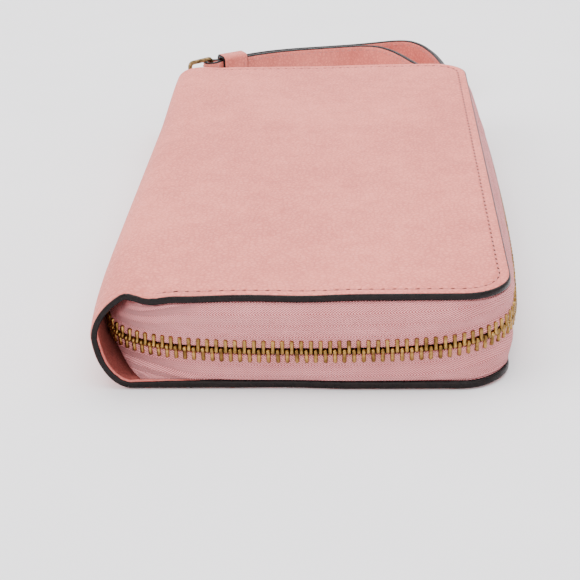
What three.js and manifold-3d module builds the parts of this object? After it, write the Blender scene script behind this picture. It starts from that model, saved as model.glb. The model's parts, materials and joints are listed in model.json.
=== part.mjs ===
// A long zip-around wallet, lying flat: two leather covers joined by a soft spine, a metal zip round
// the other three sides with a slider, a metal pull and a leather wrist strap, card pockets on both
// covers, and a zipped coin pocket between them, hung from folded gussets.
// Millimetres, +Z up. X runs from the spine (-X) to the mouth (+X), Y along the length, and the
// origin is on the underside, in the middle of the covers. The slider is parked at the +Y end.

import * as THREE from "three";
import { mergeVertices } from "three/addons/utils/BufferGeometryUtils.js";
import Module from "manifold-3d";

// ---- driving dimensions ----
const length = 195; // along the spine
const width = 105; // spine to mouth
const thickness = 25; // outside of one cover to outside of the other
const cornerRadius = 12; // the covers' two corners at the mouth
const spineDepth = 11.5; // how far the round spine reaches beyond the flat covers
const leatherThickness = 0.8;
const boardThickness = 0.4;
const liningThickness = 0.65;
const glue = 0.05; // between pieces that are glued or sewn face to face
const touching = 0.3; // between pieces that only meet
const boardInset = 3; // the stiffener stops short of the cover's edge

const tapeThickness = 0.6;
const tapeInset = 0.5; // cover's edge to the outside of the tape's seam
const tapeFlange = 4; // width of tape sewn flat to the lining
const toothRowThickness = 2.6;
const toothRowInner = 0.75; // middle of the zip to the tips of a row
const toothRowOuter = 2.95; // middle of the zip to the back of a row
const toothGrip = 1.2; // how deep the teeth hold the tape
const chainDrop = 0.2; // middle of the zip below the middle of the wallet
const chainOut = 0.5; // middle of the zip outside the cover's edge
const mouthBulge = 3.2; // the zip bellies out along the mouth
const endBulge = 1.5; // and a little at the near end
const endDip = 1.6; // where it also sags
const hookRadius = 20; // the near end of the zip curls in behind the spine
const hookTurn = 68; // degrees that it curls through
const hookInset = 6; // spine's outside to the curl's end

const cardSheet = 0.5;
const cardRows = 3;
const cardRowStep = 12; // between the edges of two rows of card pockets
const cardRowFirst = 10; // base's edge at the mouth to the first row's edge
const cardEndInset = 9.5; // from the covers' ends
const cardSpineInset = 3; // from where the covers begin to bend
const cardMouthInset = 8.5;

const coinHeight = 7.6; // outside of one sheet to outside of the other
const coinSheet = 0.6;
const coinEndInset = 13.5;
const coinSpineReach = 1; // the pocket's fold reaches this far into the spine
const coinMouthInset = 16.5;
const coinTape = 0.5;
const coinRowThickness = 2;
const coinRowInner = 0.65;
const coinRowOuter = 1.85;

const gussetThickness = 0.5;
const gussetReach = 2.8; // how far the bellows' outer folds stand beyond the card pockets
const gussetFolds = 5;
const gussetSpineInset = 4; // coin pocket's fold to the bellows, clear of the curled-in zip

const pullLength = 21; // main pull, pivot to eye
const pullAngle = 118; // how the pull lies at rest, from +X
const bailLength = 10; // between the middles of the bail's two upright bars
const bailAngle = 41;
const barSize = 1.6;
const strapAngle = 31;
const strapWidth = 12.5;
const strapThickness = 1.8;
const keeperLength = 10;
const keeperWall = 1.3;

const coinPullLength = 11;

// ---- worked out from them ----
const half = thickness / 2;
const mouthX = width / 2;
const spineX = -width / 2;
const spineStart = spineX + spineDepth; // where the flat covers end
const endY = length / 2;
const chainHeight = half - chainDrop; // middle of the zip above the table
const liningDepth = leatherThickness + boardThickness + 2 * glue;
const coverThickness = liningDepth + liningThickness;
const toothRowHalf = toothRowThickness / 2;
const chainEnd = endY + chainOut; // middle of the zip at the two short ends
const chainMouth = mouthX + chainOut;
const zipCorner = cornerRadius + chainOut;
const tapeFarEnd = spineX + 6; // the tape's far end, behind the parked slider

const sliderLength = 10;
const sliderHeight = 9;
const sliderPlate = 1;
const sliderRun = 0.25; // between the tooth rows and the slider's plates
const sliderParked = tapeFarEnd + 6.5;
const teethFarEnd = sliderParked + sliderLength / 2 + touching;
const bridgeRise = 2.6;
const bridgeWall = 0.9;
const bridgeWidth = 2.4;

const bay = (thickness - coinHeight) / 2; // table to the coin pocket's underside
const cardHalfLength = endY - cardEndInset;
const cardSpineEdge = spineStart + cardSpineInset;
const cardMouthEdge = mouthX - cardMouthInset;
const coinHalfLength = endY - coinEndInset;
const coinSpineEdge = spineStart - coinSpineReach;
const coinMouthEdge = mouthX - coinMouthInset;

// ---- materials ----
function material(color, roughness, metalness = 0) {
  return new THREE.MeshStandardMaterial({ color, roughness, metalness });
}
const leather = material(0xdcaea6, 0.55);
const liningLeather = material(0xc98a84, 0.7);
const board = material(0x9c8f80, 0.9);
const tapeFabric = material(0xdda3aa, 0.85);
const brass = material(0xb08a4a, 0.3, 1);

const wallet = new THREE.Group();

function add(group, name, geometry, look) {
  const mesh = new THREE.Mesh(geometry, look);
  mesh.name = name;
  group.add(mesh);
}

// ---- geometry helpers ----

function volumeOf(position, index) {
  const [a, b, c] = [new THREE.Vector3(), new THREE.Vector3(), new THREE.Vector3()];
  let volume = 0;
  for (let i = 0; i < index.length; i += 3) {
    a.fromArray(position, 3 * index[i]);
    b.fromArray(position, 3 * index[i + 1]);
    c.fromArray(position, 3 * index[i + 2]);
    volume += a.dot(b.cross(c)) / 6;
  }
  return volume;
}

// A closed solid through a row of cross-sections, each a ring of points in the same order. An open
// row is capped by the triangles of its flat outline; a closed row joins its last section to its first.
function loft(sections, capOutline = null) {
  const n = sections[0].length;
  const position = sections.flat().flatMap((p) => [p.x, p.y, p.z]);
  const index = [];
  const last = capOutline ? sections.length - 1 : sections.length;
  for (let s = 0; s < last; s++) {
    const here = s * n;
    const next = ((s + 1) % sections.length) * n;
    for (let i = 0; i < n; i++) {
      const j = (i + 1) % n;
      index.push(here + i, here + j, next + j, here + i, next + j, next + i);
    }
  }
  if (capOutline) {
    const start = (sections.length - 1) * n;
    const clockwise = THREE.ShapeUtils.isClockWise(capOutline);
    for (const face of THREE.ShapeUtils.triangulateShape(capOutline, [])) {
      const [a, b, c] = clockwise ? [face[0], face[2], face[1]] : face;
      index.push(c, b, a, start + a, start + b, start + c);
    }
  }
  if (volumeOf(position, index) < 0) index.reverse();
  return new THREE.BufferGeometry()
    .setAttribute("position", new THREE.Float32BufferAttribute(position, 3))
    .setIndex(index);
}

// A flat plate of an outline in XY, from one height to another.
function plate(shape, low, high, curveSegments = 10) {
  return new THREE.ExtrudeGeometry(shape, { depth: high - low, bevelEnabled: false, curveSegments })
    .translate(0, 0, low);
}

function rectangle(x0, y0, x1, y1) {
  return new THREE.Shape([
    new THREE.Vector2(x0, y0),
    new THREE.Vector2(x1, y0),
    new THREE.Vector2(x1, y1),
    new THREE.Vector2(x0, y1),
  ]);
}

const ordered = (a, b) => (a < b ? [a, b] : [b, a]);

function block(x0, x1, y0, y1, z0, z1) {
  return new THREE.BoxGeometry(x1 - x0, y1 - y0, z1 - z0)
    .translate((x0 + x1) / 2, (y0 + y1) / 2, (z0 + z1) / 2);
}

// A plate outline that is square at the spine and round at the mouth.
function panelShape(x0, x1, halfY, radius) {
  const shape = new THREE.Shape();
  shape.moveTo(x0, -halfY);
  shape.lineTo(x1 - radius, -halfY);
  shape.absarc(x1 - radius, -halfY + radius, radius, -Math.PI / 2, 0);
  shape.lineTo(x1, halfY - radius);
  shape.absarc(x1 - radius, halfY - radius, radius, 0, Math.PI / 2);
  shape.lineTo(x0, halfY);
  return shape;
}

// The same geometry on the upper cover, which mirrors the lower one about the middle of the wallet.
function flipped(geometry) {
  const g = geometry.clone().scale(1, 1, -1).translate(0, 0, thickness);
  const flat = g.index ? g.toNonIndexed() : g;
  const p = flat.attributes.position.array;
  for (let i = 0; i < p.length; i += 9) {
    for (let k = 0; k < 3; k++) [p[i + 3 + k], p[i + 6 + k]] = [p[i + 6 + k], p[i + 3 + k]];
  }
  return flat;
}

const wasm = await Module();
wasm.setup();

function toSolid(geometry) {
  const bare = new THREE.BufferGeometry().setAttribute("position", geometry.getAttribute("position"));
  if (geometry.index) bare.setIndex(geometry.index);
  const merged = mergeVertices(bare, 1e-4);
  return new wasm.Manifold(
    new wasm.Mesh({
      numProp: 3,
      vertProperties: new Float32Array(merged.attributes.position.array),
      triVerts: new Uint32Array(merged.index.array),
    }),
  );
}

function toGeometry(solid) {
  const mesh = solid.getMesh();
  return new THREE.BufferGeometry()
    .setAttribute("position", new THREE.Float32BufferAttribute(mesh.vertProperties, 3))
    .setIndex(new THREE.BufferAttribute(mesh.triVerts, 1));
}

function joined(...geometries) {
  return geometries.map(toSolid).reduce((a, b) => a.add(b));
}

// ---- the covers: leather outside, board, lining inside ----

// Stations across one cover, from the mouth to the middle of the spine: [x, z, half length in Y],
// at a depth below the outside and stopping short of the edge by an inset.
function coverStations(depth, inset) {
  const radius = cornerRadius - inset;
  const centre = mouthX - cornerRadius;
  const stations = [];
  const cornerSteps = 8;
  for (let i = 0; i <= cornerSteps; i++) {
    const a = (i / cornerSteps) * (Math.PI / 2);
    stations.push([centre + radius * Math.cos(a), depth, endY - cornerRadius + radius * Math.sin(a)]);
  }
  const spineSteps = 10;
  const stop = Math.asin(touching / 2 / (half - depth));
  for (let i = 0; i <= spineSteps; i++) {
    const a = (i / spineSteps) * (Math.PI / 2 - stop);
    stations.push([
      spineStart - (spineDepth - depth) * Math.sin(a),
      half - (half - depth) * Math.cos(a),
      endY - inset,
    ]);
  }
  return stations;
}

// One layer of the cover, from the outside depth to the inside depth.
function coverLayer(outer, inner, inset) {
  const outside = coverStations(outer, inset);
  const inside = coverStations(inner, inset);
  const sections = outside.map(([x, z, y], i) => {
    const [xi, zi, yi] = inside[i];
    return [
      new THREE.Vector3(x, -y, z),
      new THREE.Vector3(x, y, z),
      new THREE.Vector3(xi, yi, zi),
      new THREE.Vector3(xi, -yi, zi),
    ];
  });
  const cap = [[0, 0], [1, 0], [1, 1], [0, 1]].map(([x, y]) => new THREE.Vector2(x, y));
  return loft(sections, cap);
}

function buildCovers() {
  const skin = coverLayer(0, leatherThickness, 0);
  const lining = coverLayer(liningDepth, coverThickness, touching);
  const stiffener = plate(
    panelShape(spineStart + boardInset, mouthX - boardInset, endY - boardInset, cornerRadius - boardInset),
    leatherThickness + glue,
    leatherThickness + glue + boardThickness,
    6,
  );
  add(wallet, "cover_leather_lower", skin, leather);
  add(wallet, "cover_leather_upper", flipped(skin), leather);
  add(wallet, "cover_board_lower", stiffener, board);
  add(wallet, "cover_board_upper", flipped(stiffener), board);
  add(wallet, "cover_lining_lower", lining, liningLeather);
  add(wallet, "cover_lining_upper", flipped(lining), liningLeather);
}

// ---- card pockets: a base sheet and rows that step down towards the spine ----

function buildCards() {
  const edge = coverThickness + glue;
  const sheet = (mouthEdge, low) =>
    plate(rectangle(cardSpineEdge, -cardHalfLength, mouthEdge, cardHalfLength), low, low + cardSheet);
  const base = sheet(cardMouthEdge, edge);
  add(wallet, "card_base_lower", base, liningLeather);
  add(wallet, "card_base_upper", flipped(base), liningLeather);
  for (let row = 1; row <= cardRows; row++) {
    const low = edge + row * (cardSheet + glue);
    const pocket = sheet(cardMouthEdge - cardRowFirst - (row - 1) * cardRowStep, low);
    add(wallet, `card_row_lower_${row}`, pocket, liningLeather);
    add(wallet, `card_row_upper_${row}`, flipped(pocket), liningLeather);
  }
}
const cardTop = coverThickness + glue + (cardRows + 1) * (cardSheet + glue) - glue;

// ---- the main zip ----

const curl = THREE.MathUtils.degToRad(hookTurn);
const curlFrom = 1.5 * Math.PI - curl; // direction from the curl's centre to the zip's near end
const curlCentre = new THREE.Vector2(spineX + hookInset + hookRadius * Math.sin(curl), hookRadius - chainEnd);

// The zip's middle line seen from above, from behind the spine at the near end, round the mouth, to
// the far end: stations with the point, the outward direction, the height, the belly, and whether the
// station is on the curled-in end.
function zipStations(farEnd) {
  const bellyShare = (t) => 1 - Math.pow(Math.min(1, Math.abs(t)), 4);
  const stations = [];
  const station = (x, y, angle, share, hook) => {
    const outward = new THREE.Vector2(Math.cos(angle), Math.sin(angle));
    const belly = share.mouth * mouthBulge + share.end * endBulge;
    stations.push({
      x: x + outward.x * belly,
      y: y + outward.y * belly,
      outward,
      belly,
      hook,
      z: chainHeight - share.dip * endDip,
    });
  };
  const none = { mouth: 0, end: 0, dip: 0 };
  const curled = { mouth: 0, end: 0, dip: 1 };
  const arc = (x, y, radius, from, to, steps, share, hook = false) => {
    for (let i = hook ? 0 : 1; i < steps; i++) {
      const a = from + ((to - from) * i) / steps;
      station(x + radius * Math.cos(a), y + radius * Math.sin(a), a, share, hook);
    }
  };
  const line = (x0, y0, x1, y1, angle, steps, share) => {
    for (let i = 0; i <= steps; i++) {
      const t = i / steps;
      station(x0 + (x1 - x0) * t, y0 + (y1 - y0) * t, angle, share(2 * t - 1), false);
    }
  };
  const sag = (t) => ({ mouth: 0, end: bellyShare(t), dip: t < 0 ? 1 : bellyShare(t) });
  const cornerX = chainMouth - zipCorner;
  const cornerY = chainEnd - zipCorner;
  arc(curlCentre.x, curlCentre.y, hookRadius, curlFrom, 1.5 * Math.PI, 8, curled, true);
  line(curlCentre.x, -chainEnd, cornerX, -chainEnd, -Math.PI / 2, 10, sag);
  arc(cornerX, -cornerY, zipCorner, -Math.PI / 2, 0, 6, none);
  line(chainMouth, -cornerY, chainMouth, cornerY, 0, 16, (t) => ({ mouth: bellyShare(t), end: 0, dip: 0 }));
  arc(cornerX, cornerY, zipCorner, 0, Math.PI / 2, 6, none);
  line(cornerX, chainEnd, farEnd, chainEnd, Math.PI / 2, 4, () => none);
  return stations;
}

// Height of the lining's inner face above the middle of the wallet, which falls away at the spine.
function headroom(x) {
  const reach = Math.min(0, x - spineStart) / (spineDepth - coverThickness);
  return (half - coverThickness) * Math.sqrt(Math.max(0, 1 - reach * reach));
}

function ring(station, outline) {
  return outline.map(
    ([out, z]) =>
      new THREE.Vector3(station.x + station.outward.x * out, station.y + station.outward.y * out, z),
  );
}

// One side of the tape: up from the teeth, in under the cover, and flat along the lining.
function tapeOutline(station, side) {
  const t = tapeThickness / 2;
  const at = (rise) => station.z + side * rise;
  const foot = toothRowOuter - toothGrip + touching;
  const upright = sliderHeight / 2 + touching;
  const seam = station.hook ? -1 : -(tapeInset + chainOut + station.belly);
  const flange = station.hook ? 2 * t : tapeFlange;
  const gap = station.hook || station.x < spineStart ? touching : glue;
  const roof = headroom(Math.min(station.x, station.x + station.outward.x * seam)) - gap;
  const top = half + side * roof;
  const under = top - side * tapeThickness;
  const middle = (at(upright) + top) / 2;
  return [
    [t, at(foot)],
    [t, at(upright)],
    [t + 0.35 * seam, middle],
    [t + seam, top],
    [seam - flange, top],
    [seam - flange, under],
    [seam - t, under],
    [0.35 * seam - t, middle],
    [-t, at(upright)],
    [-t, at(foot)],
  ];
}

function toothOutline(station, side) {
  const at = (rise) => station.z + side * rise;
  const slot = tapeThickness / 2 + touching;
  const grip = toothRowOuter - toothGrip;
  return [
    [-toothRowHalf, at(toothRowInner)],
    [toothRowHalf, at(toothRowInner)],
    [toothRowHalf, at(toothRowOuter)],
    [slot, at(toothRowOuter)],
    [slot, at(grip)],
    [-slot, at(grip)],
    [-slot, at(toothRowOuter)],
    [-toothRowHalf, at(toothRowOuter)],
  ];
}

function sweepZip(farEnd, outlineOf, side) {
  const stations = zipStations(farEnd);
  const cap = outlineOf(stations[0], side).map(([out, z]) => new THREE.Vector2(out, z));
  return loft(stations.map((s) => ring(s, outlineOf(s, side))), cap);
}

function buildZip() {
  const stopLength = 2.2;
  const stopHalf = 1.2;
  const stopLow = 0.4;
  const stopHigh = 3.2;
  const rows = [["lower", -1], ["upper", 1]];
  for (const [name, side] of rows) {
    add(wallet, `zip_tape_${name}`, sweepZip(tapeFarEnd, tapeOutline, side), tapeFabric);
    add(wallet, `zip_teeth_${name}`, sweepZip(teethFarEnd, toothOutline, side), brass);
    const [z0, z1] = ordered(chainHeight + side * stopLow, chainHeight + side * stopHigh);
    const x1 = tapeFarEnd - touching;
    add(
      wallet,
      `zip_top_stop_${name}`,
      block(x1 - stopLength, x1, chainEnd - stopHalf, chainEnd + stopHalf, z0, z1),
      brass,
    );
  }
  const curlHeight = chainHeight - endDip;
  const bottomStop = block(
    touching,
    touching + stopLength,
    -stopHalf,
    stopHalf,
    curlHeight - stopHigh,
    curlHeight + stopHigh,
  );
  bottomStop.rotateZ(curlFrom - Math.PI / 2).translate(
    curlCentre.x + hookRadius * Math.cos(curlFrom),
    curlCentre.y + hookRadius * Math.sin(curlFrom),
    0,
  );
  add(wallet, "zip_bottom_stop", bottomStop, brass);
}

// ---- a slider, in its own frame: x along the zip, y outward, z across the zip ----

function sliderBody({ long, high, wall, teeth, slot, post, lip }) {
  const face = teeth + sliderRun;
  const back = face + wall;
  const side = high / 2;
  const pieces = [
    block(-long / 2, long / 2, face, back, -side, side),
    block(-long / 2, long / 2, -back, -face, -side, side),
    block(-long / 2, -long / 2 + 0.28 * long, -back + wall / 2, back - wall / 2, -post, post),
  ];
  for (const [y0, y1] of [[slot, back - wall / 2], [-back + wall / 2, -slot]]) {
    pieces.push(block(-long / 2, long / 2, y0, y1, side - lip, side));
    pieces.push(block(-long / 2, long / 2, y0, y1, -side, -side + lip));
  }
  return toGeometry(joined(...pieces));
}

// The arch that holds the pull, standing on the outer plate.
function sliderBridge({ foot, rise, wall, reach, across }) {
  const shape = new THREE.Shape();
  const top = foot + rise;
  shape.moveTo(-reach, foot);
  shape.lineTo(-reach, top - wall);
  shape.quadraticCurveTo(-reach, top + wall, -reach + 2 * wall, top + wall);
  shape.lineTo(reach - 2 * wall, top + wall);
  shape.quadraticCurveTo(reach, top + wall, reach, top - wall);
  shape.lineTo(reach, foot);
  shape.lineTo(reach - wall, foot);
  shape.lineTo(reach - wall, top);
  shape.lineTo(-reach + wall, top);
  shape.lineTo(-reach + wall, foot);
  return plate(shape, -across / 2, across / 2, 4);
}

// A pull tab in its own frame: x away from the pivot, y through its thickness, z across it.
function pullTab({ long, bar, wide, thick, windowEnd, windowHalf, narrow }) {
  const shape = new THREE.Shape();
  shape.moveTo(-bar / 2, -wide / 2);
  shape.lineTo(windowEnd + 1, -wide / 2);
  shape.lineTo(long, -narrow / 2);
  shape.lineTo(long, narrow / 2);
  shape.lineTo(windowEnd + 1, wide / 2);
  shape.lineTo(-bar / 2, wide / 2);
  shape.holes.push(
    new THREE.Path([
      new THREE.Vector2(bar / 2, -windowHalf),
      new THREE.Vector2(bar / 2, windowHalf),
      new THREE.Vector2(windowEnd, windowHalf),
      new THREE.Vector2(windowEnd, -windowHalf),
    ]),
  );
  return plate(shape, -thick / 2, thick / 2).rotateX(Math.PI / 2);
}

const sliderBack = toothRowHalf + sliderRun + sliderPlate;
const pivotOut = sliderBack + bridgeRise / 2;

function buildSlider() {
  const slider = new THREE.Group();
  slider.position.set(sliderParked, chainEnd, chainHeight);
  add(
    slider,
    "slider_body",
    sliderBody({
      long: sliderLength,
      high: sliderHeight,
      wall: sliderPlate,
      teeth: toothRowHalf,
      slot: tapeThickness / 2 + 0.4,
      post: toothRowInner - touching,
      lip: sliderHeight / 2 - toothRowOuter - 0.4,
    }),
    brass,
  );
  add(
    slider,
    "slider_bridge",
    sliderBridge({
      foot: sliderBack + glue,
      rise: bridgeRise,
      wall: bridgeWall,
      reach: 0.43 * sliderLength,
      across: bridgeWidth,
    }),
    brass,
  );
  wallet.add(slider);
}

// ---- the pull, the bail and the strap, each hinged on an upright axis ----

const eyeRadius = 2;
const eyeBore = 1.35;
const pullWidth = 5;

function buildPull() {
  const pull = new THREE.Group();
  pull.position.set(sliderParked, chainEnd + pivotOut, chainHeight);
  pull.rotation.z = THREE.MathUtils.degToRad(pullAngle);
  const windowEnd = bridgeRise / 2 + bridgeWall + 3;
  const tab = pullTab({
    long: pullLength - eyeRadius / 2,
    bar: 1.2,
    wide: pullWidth,
    thick: 1.4,
    windowEnd,
    windowHalf: bridgeWidth / 2 + 0.5,
    narrow: pullWidth,
  });
  const upright = (radius, height) =>
    new THREE.CylinderGeometry(radius, radius, height, 20).rotateX(Math.PI / 2).translate(pullLength, 0, 0);
  const eye = joined(tab, upright(eyeRadius, pullWidth)).subtract(toSolid(upright(eyeBore, pullWidth + 1)));
  add(pull, "pull_plate", toGeometry(eye), brass);

  const bail = new THREE.Group();
  bail.position.x = pullLength;
  bail.rotation.z = THREE.MathUtils.degToRad(bailAngle - pullAngle);
  const inner = strapWidth / 2 + touching;
  const frame = rectangle(-barSize / 2, -inner - barSize, bailLength + barSize / 2, inner + barSize);
  frame.holes.push(
    new THREE.Path(rectangle(barSize / 2, -inner, bailLength - barSize / 2, inner).getPoints().reverse()),
  );
  add(bail, "strap_bail", plate(frame, -barSize / 2, barSize / 2).rotateX(Math.PI / 2), brass);
  pull.add(bail);

  const strap = new THREE.Group();
  strap.position.x = bailLength;
  strap.rotation.z = THREE.MathUtils.degToRad(strapAngle - bailAngle);
  buildStrap(strap);
  bail.add(strap);
  wallet.add(pull);
}

// The strap is one band of leather, standing on its edge: round the bail's bar, through the keeper as
// two layers, side by side to a corner, and on towards the wallet as an open wrist loop. Its middle
// line is given in the strap's own frame, along it and to its left.
const layerOffset = strapThickness / 2 + 0.1; // each layer's middle from the strap's middle
const barWrap = barSize * Math.SQRT1_2 + 0.17 + strapThickness / 2;
const keeperStart = barWrap + 1.9;
const keeperEnd = keeperStart + keeperLength;
const strapLine = [
  [-barWrap, 0],
  [-0.7 * barWrap, 0.77 * barWrap],
  [0.3 * barWrap, 0.95 * barWrap],
  [keeperStart - 1.1, layerOffset + 0.12],
  [keeperStart, layerOffset],
  [keeperStart + keeperLength / 2, layerOffset],
  [keeperEnd, layerOffset],
  [25, 1.65],
  [46, 3.1],
  [62, 4.4],
  [76, 4.9],
  [85, 4],
  [90, 0.5],
  [91.3, -6],
  [89.5, -17],
  [86, -28],
  [82, -37],
  [77.5, -41],
  [73.8, -37.5],
  [74.2, -28],
  [75.6, -18],
  [76, -8],
  [74, -1],
  [69, 2],
  [62, 2.35],
  [46, 1.05],
  [25, -0.4],
  [keeperEnd, -layerOffset],
  [keeperStart + keeperLength / 2, -layerOffset],
  [keeperStart, -layerOffset],
  [keeperStart - 1.1, -layerOffset - 0.12],
  [0.3 * barWrap, -0.95 * barWrap],
  [-0.7 * barWrap, -0.77 * barWrap],
];

function buildStrap(group) {
  const downAt = 88; // the strap has come down to the table by here
  const steps = 140;
  const hang = chainHeight - strapWidth / 2;
  const line = new THREE.CatmullRomCurve3(
    strapLine.map(([x, y]) => new THREE.Vector3(x, y, 0)),
    true,
    "centripetal",
  );
  const sections = [];
  for (let i = 0; i < steps; i++) {
    const p = line.getPointAt(i / steps);
    const along = line.getTangentAt(i / steps);
    const left = new THREE.Vector3(-along.y, along.x, 0).normalize();
    const lift = hang * (1 - THREE.MathUtils.smoothstep(p.x, keeperEnd, downAt));
    const low = lift - chainHeight;
    const face = strapThickness / 2;
    const corner = (side, height) => p.clone().addScaledVector(left, side * face).setZ(height);
    sections.push([
      corner(1, low),
      corner(1, low + strapWidth),
      corner(-1, low + strapWidth),
      corner(-1, low),
    ]);
  }
  add(group, "strap_loop", loft(sections), leather);

  const inY = layerOffset + strapThickness / 2 + touching / 2;
  const inZ = strapWidth / 2 + touching;
  const keeper = rectangle(-inY - keeperWall, -inZ - keeperWall, inY + keeperWall, inZ + keeperWall);
  keeper.holes.push(new THREE.Path(rectangle(-inY, -inZ, inY, inZ).getPoints().reverse()));
  const sleeve = plate(keeper, 0, keeperLength).rotateY(Math.PI / 2).rotateX(Math.PI / 2);
  add(group, "strap_keeper", sleeve.translate(keeperStart, 0, 0), leather);
}

// ---- the coin pocket: two sheets, a fold, two ends, and a small zip along its mouth ----

const coinMiddle = half;
const coinLow = bay;
const coinHigh = thickness - bay;
const coinChainX = coinMouthEdge + touching + coinTape / 2;

function buildCoinPocket() {
  const flat = rectangle(coinSpineEdge, -coinHalfLength, coinMouthEdge, coinHalfLength);
  const low = plate(flat, coinLow, coinLow + coinSheet);
  add(wallet, "coin_sheet_lower", low, liningLeather);
  add(wallet, "coin_sheet_upper", flipped(low), liningLeather);
  const fold = coinSpineEdge - glue;
  const back = block(fold - coinSheet, fold, -coinHalfLength, coinHalfLength, coinLow, coinHigh);
  add(wallet, "coin_fold", back, liningLeather);
  for (const [name, side] of [["near", -1], ["far", 1]]) {
    const inner = coinHalfLength + glue;
    const [y0, y1] = ordered(side * inner, side * (inner + coinSheet));
    const end = block(coinSpineEdge, coinMouthEdge, y0, y1, coinLow, coinHigh);
    add(wallet, `coin_end_${name}`, end, liningLeather);
  }
  const tapeEdge = coinRowOuter + touching;
  const tapeHalf = coinTape / 2;
  const rowEnd = coinHalfLength - 3;
  const thick = coinRowThickness / 2;
  for (const [name, side] of [["lower", -1], ["upper", 1]]) {
    const [t0, t1] = ordered(coinMiddle + side * tapeEdge, coinMiddle + (side * coinHeight) / 2);
    const [r0, r1] = ordered(coinMiddle + side * coinRowInner, coinMiddle + side * coinRowOuter);
    add(
      wallet,
      `coin_tape_${name}`,
      block(coinChainX - tapeHalf, coinChainX + tapeHalf, -coinHalfLength, coinHalfLength, t0, t1),
      tapeFabric,
    );
    const row = block(coinChainX - thick, coinChainX + thick, -rowEnd, rowEnd, r0, r1);
    add(wallet, `coin_teeth_${name}`, row, brass);
  }
  const stopHalf = 1.6;
  const stopLong = 2;
  for (const [name, side] of [["near", -1], ["far", 1]]) {
    const inner = rowEnd + touching;
    const [y0, y1] = ordered(side * inner, side * (inner + stopLong));
    const x0 = coinChainX - coinRowThickness / 2;
    add(
      wallet,
      `coin_stop_${name}`,
      block(x0, x0 + coinRowThickness, y0, y1, coinMiddle - stopHalf, coinMiddle + stopHalf),
      brass,
    );
  }
}

const coinSliderLength = 7.5;
const coinSliderHeight = coinHeight - 2 * (coinSheet + touching);
const coinSliderPlate = 0.7;
const coinBridgeRise = 2.2;
const coinBridgeWall = 0.7;
const coinBridgeWidth = 2;
const coinSliderParked = -coinHalfLength + 3 + coinSliderLength / 2;
const coinSliderBack = coinRowThickness / 2 + sliderRun + coinSliderPlate;

function buildCoinSlider() {
  const slider = new THREE.Group();
  slider.position.set(coinChainX, coinSliderParked, coinMiddle);
  slider.rotation.z = -Math.PI / 2; // y points out of the mouth, and x along -Y
  add(
    slider,
    "coin_slider_body",
    sliderBody({
      long: coinSliderLength,
      high: coinSliderHeight,
      wall: coinSliderPlate,
      teeth: coinRowThickness / 2,
      slot: coinTape / 2 + touching,
      post: coinRowInner - 0.25,
      lip: coinSliderHeight / 2 - coinRowOuter - touching,
    }),
    brass,
  );
  add(
    slider,
    "coin_slider_bridge",
    sliderBridge({
      foot: coinSliderBack + glue,
      rise: coinBridgeRise,
      wall: coinBridgeWall,
      reach: 0.42 * coinSliderLength,
      across: coinBridgeWidth,
    }),
    brass,
  );
  const pull = new THREE.Group();
  pull.position.y = coinSliderBack + coinBridgeRise / 2;
  pull.rotation.z = Math.PI; // it lies back along the zip
  add(
    pull,
    "coin_pull",
    pullTab({
      long: coinPullLength,
      bar: 0.9,
      wide: 4.4,
      thick: 1,
      windowEnd: coinBridgeRise / 2 + coinBridgeWall + 2.4,
      windowHalf: coinBridgeWidth / 2 + 0.4,
      narrow: 3.6,
    }),
    brass,
  );
  slider.add(pull);
  wallet.add(slider);
}

// ---- gussets: bellows from each cover to the coin pocket, at the two short ends ----

function buildGussets() {
  const inner = coinHalfLength + glue + coinSheet + touching;
  const outer = cardHalfLength + gussetReach;
  const foot = coverThickness + touching;
  const top = half - touching / 2;
  const t = gussetThickness;
  // Up past the cards, in, out, in, and then up against the pocket's end: [y, z] along one face.
  const start = cardTop + touching;
  const face = [[outer, foot]];
  for (let i = 0; i <= gussetFolds; i++) {
    face.push([i % 2 ? inner + t : outer, start + ((top - start) * i) / (gussetFolds + 0.5)]);
  }
  face.push([inner + t, top]);
  const back = face.map(([y, z]) => [y - t, z]).reverse();
  const outline = new THREE.Shape([...face, ...back].map(([y, z]) => new THREE.Vector2(y, z)));
  const spineEdge = coinSpineEdge + gussetSpineInset;
  const span = coinMouthEdge - spineEdge;
  const far = plate(outline, 0, span)
    .rotateX(Math.PI / 2)
    .rotateZ(Math.PI / 2)
    .translate(spineEdge, 0, 0);
  const near = far
    .clone()
    .rotateZ(Math.PI)
    .translate(2 * spineEdge + span, 0, 0);
  add(wallet, "gusset_near_lower", near, tapeFabric);
  add(wallet, "gusset_near_upper", flipped(near), tapeFabric);
  add(wallet, "gusset_far_lower", far, tapeFabric);
  add(wallet, "gusset_far_upper", flipped(far), tapeFabric);
}

buildCovers();
buildCards();
buildZip();
buildSlider();
buildPull();
buildCoinPocket();
buildCoinSlider();
buildGussets();

export default wallet;
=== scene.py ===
# Looks for the long zip-around wallet: pebbled leather covers with painted edges and stitching, a
# brass zip on herringbone tape, the slider's pull and wrist strap, and the pockets inside.
# Sizes are in millimetres in the CAD's frame, and turned into metres where a mesh is made. The
# floor and the lights are given in metres.

import json
import math
import random

import bpy
import numpy as np
from mathutils import Matrix, Vector, noise


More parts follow.
